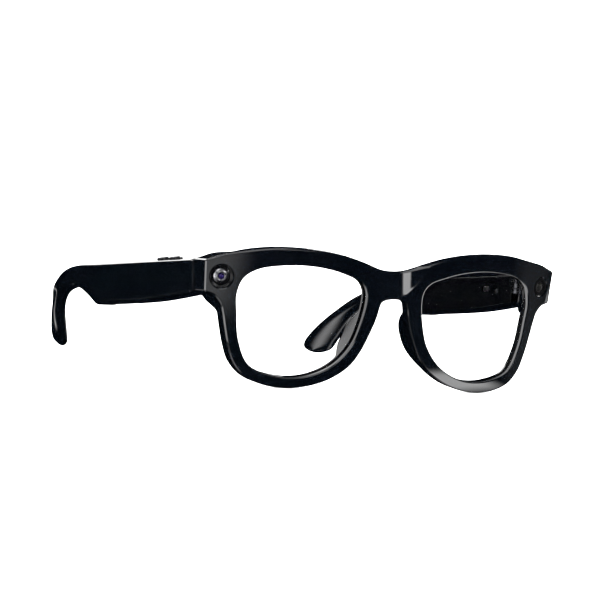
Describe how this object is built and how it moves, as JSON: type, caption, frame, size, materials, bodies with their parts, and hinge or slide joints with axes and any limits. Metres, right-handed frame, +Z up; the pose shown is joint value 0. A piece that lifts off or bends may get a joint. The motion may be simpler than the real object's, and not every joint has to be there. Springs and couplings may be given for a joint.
{
  "type": "smart glasses",
  "caption": "Black full-rim smart glasses with a camera and an indicator light on the end pieces and hollow folding temples that hold the electronics.",
  "frame": {"origin": "on the ground plane, under the middle of the whole set with the temples open", "axes": "+Z up; the front faces -Y and the temples run towards +Y; +X is the wearer's left"},
  "size_m": [0.15, 0.1642, 0.0523],
  "materials": {
    "gloss_black": "polished moulded plastic",
    "satin_black": "satin moulded plastic",
    "clear_lens": "clear coated lens",
    "steel": "fine brushed steel",
    "dark_metal": "black oxide steel",
    "contact_gold": "gold-plated contact",
    "board": "solder-masked circuit board",
    "flex": "polyimide film",
    "foil": "laminated pouch foil",
    "light_pipe": "smoked translucent plastic"
  },
  "bodies": {
    "front": {"front_frame": "gloss_black", "lens_right": "clear_lens", "lens_left": "clear_lens", "camera_bezel": "satin_black", "camera_barrel": "steel", "camera_glass": "clear_lens", "camera_board": "board", "indicator_bezel": "satin_black", "indicator_light_pipe": "light_pipe", "indicator_board": "board", "charge_contact_right": "contact_gold", "charge_contact_left": "contact_gold", "hinge_front_leaf_right": "steel", "hinge_pin_right": "dark_metal", "hinge_screw_1_right": "dark_metal", "hinge_screw_2_right": "dark_metal", "hinge_front_leaf_left": "steel", "hinge_pin_left": "dark_metal", "hinge_screw_1_left": "dark_metal", "hinge_screw_2_left": "dark_metal"},
    "temple_right": {"temple_shell_right": "gloss_black", "temple_cover_right": "satin_black", "hinge_temple_leaf_right": "steel", "speaker_right": "satin_black", "speaker_grille_right": "dark_metal", "tip_core_wire_right": "steel", "cover_screw_1_right": "dark_metal", "cover_screw_2_right": "dark_metal", "main_board": "board", "touch_flex": "flex", "button_board": "board", "mic_port_1": "satin_black", "mic_port_2": "satin_black"},
    "temple_left": {"temple_shell_left": "gloss_black", "temple_cover_left": "satin_black", "hinge_temple_leaf_left": "steel", "speaker_left": "satin_black", "speaker_grille_left": "dark_metal", "tip_core_wire_left": "steel", "cover_screw_1_left": "dark_metal", "cover_screw_2_left": "dark_metal", "battery": "foil"},
    "capture_button": {"capture_button": "satin_black"},
    "option_button": {"option_button": "satin_black"},
    "power_switch": {"power_switch": "satin_black"}
  },
  "joints": [
    {"name": "temple_left_fold", "type": "hinge", "parent": "front", "child": "temple_left", "pos_m": [0.0663, -0.05791, 0.04009], "axis": [0, -0.075, 0.9972], "range_deg": [0, 86]},
    {"name": "temple_right_fold", "type": "hinge", "parent": "front", "child": "temple_right", "pos_m": [-0.0663, -0.05791, 0.04009], "axis": [0, 0.075, -0.9972], "range_deg": [0, 62]},
    {"name": "capture_press", "type": "slide", "parent": "temple_right", "child": "capture_button", "axis": [0, 0.075, -0.9972], "range_m": [0, 0.0005], "stiffness_N_per_m": 3000},
    {"name": "option_press", "type": "slide", "parent": "temple_right", "child": "option_button", "axis": [0, 0.075, -0.9972], "range_m": [0, 0.0005], "stiffness_N_per_m": 3000},
    {"name": "power_slide", "type": "slide", "parent": "temple_left", "child": "power_switch", "axis": [0, 0.9935, -0.1134], "range_m": [0, 0.0016]}
  ]
}
